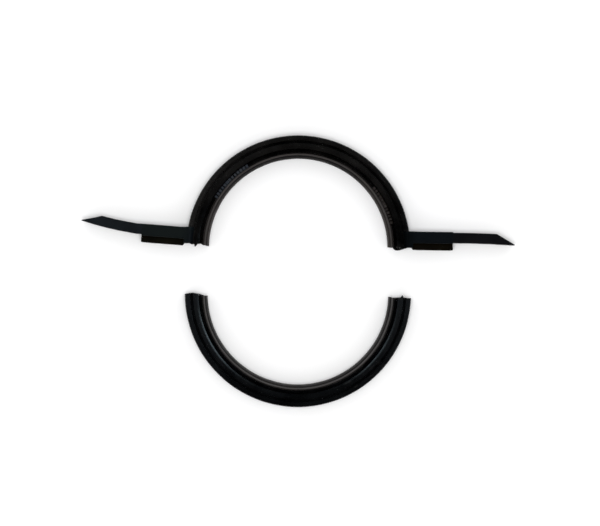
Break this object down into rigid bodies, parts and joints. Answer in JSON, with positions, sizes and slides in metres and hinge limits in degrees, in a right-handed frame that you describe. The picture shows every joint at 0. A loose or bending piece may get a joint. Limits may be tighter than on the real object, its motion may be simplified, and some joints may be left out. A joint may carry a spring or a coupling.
{
  "type": "two-piece shaft seal",
  "caption": "Split rubber shaft seal: an eared half ring with arms, crush pads and tapered tails, and a plain half ring, laid apart on their back faces.",
  "frame": {"origin": "midway between the centres of the two half rings, on the plane of their back faces", "axes": "+Z along the shaft's axis, from the back face to the lip side; +X along the ears, from the left ear to the right; +Y from the plain half to the eared half"},
  "size_m": [0.1714, 0.1072, 0.011],
  "materials": {
    "ring_rubber": "black nitrile rubber, satin moulded skin with a faint sheen",
    "lip_rubber": "black nitrile rubber, matt, trimmed sealing edge",
    "ear_rubber": "blue-black rubber, satin",
    "pad_rubber": "brown-black soft rubber, matt",
    "core_steel": "pressed sheet steel, hidden inside the rubber"
  },
  "bodies": {
    "eared_half": {"eared_half_body": "ring_rubber", "eared_half_core": "core_steel", "eared_half_lip": "lip_rubber", "left_ear_root": "ear_rubber", "right_ear_root": "ear_rubber"},
    "left_arm": {"left_ear_arm": "ear_rubber", "left_ear_pad": "pad_rubber"},
    "left_tail": {"left_ear_tail": "ear_rubber"},
    "right_arm": {"right_ear_arm": "ear_rubber", "right_ear_pad": "pad_rubber"},
    "right_tail": {"right_ear_tail": "ear_rubber"},
    "plain_half": {"plain_half_body": "ring_rubber", "plain_half_core": "core_steel", "plain_half_lip": "lip_rubber"}
  },
  "joints": [
    {"name": "halves_close", "type": "slide", "parent": "eared_half", "child": "plain_half", "axis": [0, 1, 0], "range_m": [0, 0.01925]},
    {"name": "left_ear_flex", "type": "hinge", "parent": "eared_half", "child": "left_arm", "pos_m": [-0.0469, 0.01443, 0.005], "axis": [0, 0, -1], "range_deg": [-6, 40], "stiffness_Nm_per_rad": 0.02},
    {"name": "left_tail_flex", "type": "hinge", "parent": "left_arm", "child": "left_tail", "pos_m": [-0.06405, 0.01576, 0.005], "axis": [0, 0, -1], "range_deg": [-30, 45], "stiffness_Nm_per_rad": 0.02},
    {"name": "right_ear_flex", "type": "hinge", "parent": "eared_half", "child": "right_arm", "pos_m": [0.0469, 0.01395, 0.005], "axis": [0, 0, 1], "range_deg": [-6, 40], "stiffness_Nm_per_rad": 0.02},
    {"name": "right_tail_flex", "type": "hinge", "parent": "right_arm", "child": "right_tail", "pos_m": [0.0632, 0.01395, 0.005], "axis": [0, 0, 1], "range_deg": [-30, 45], "stiffness_Nm_per_rad": 0.02}
  ]
}
